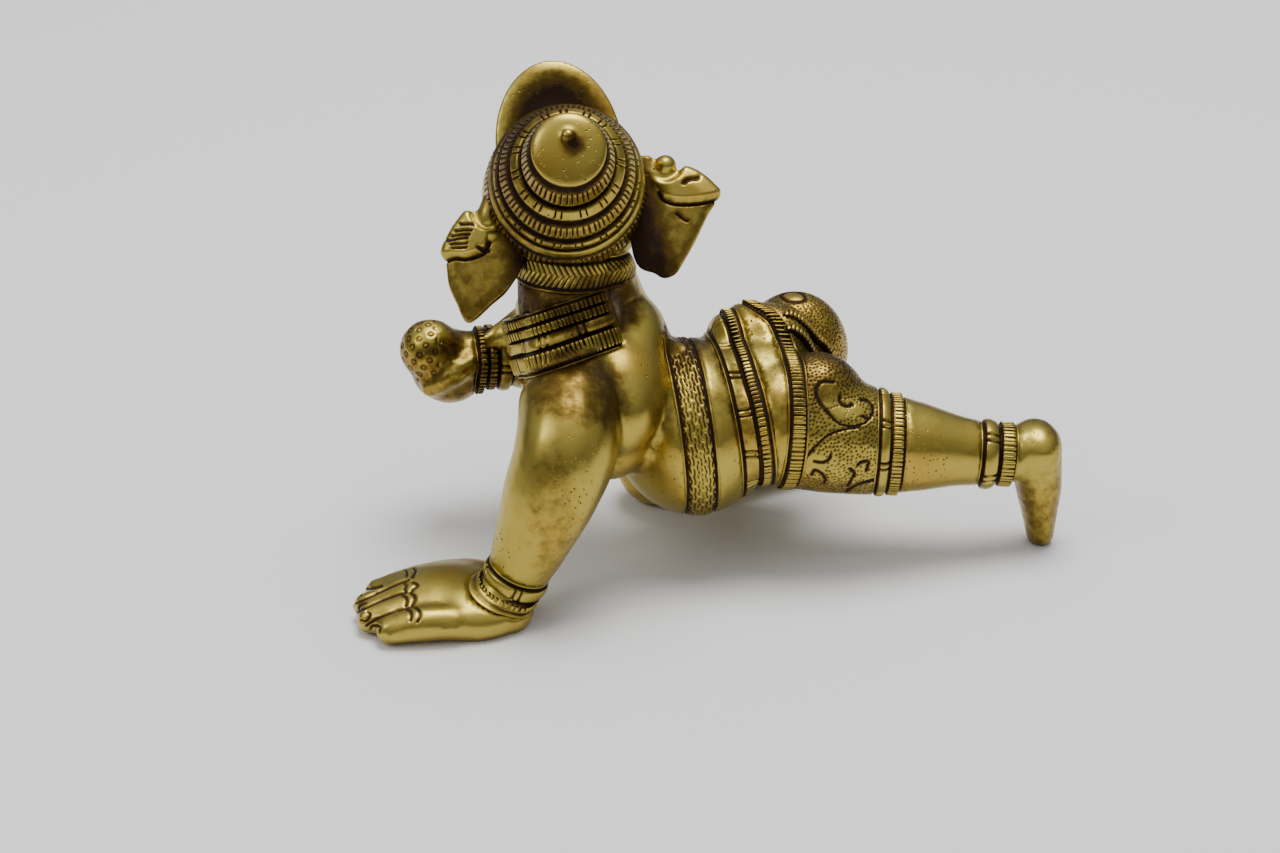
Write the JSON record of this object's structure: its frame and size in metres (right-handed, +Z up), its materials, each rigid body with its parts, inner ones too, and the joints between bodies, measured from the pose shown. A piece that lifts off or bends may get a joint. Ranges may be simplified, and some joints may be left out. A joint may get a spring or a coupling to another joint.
{
  "type": "baby ganesha statue",
  "caption": "Small solid brass statue of a baby elephant-headed deity crawling on one hand, knee and toes, with a laddu in its raised hand.",
  "frame": {"origin": "centre of the bounding box's base, on the surface the statue stands on", "axes": "+Z up, +X the way the figure crawls, +Y to the figure's left side"},
  "size_m": [0.1478, 0.0718, 0.1017],
  "materials": {
    "brass": "cast brass, worn to a polish on the high places, with dark brown patina left in the engraving and hollows"
  },
  "bodies": {
    "root": {"baby_ganesha": "brass"}
  },
  "joints": []
}
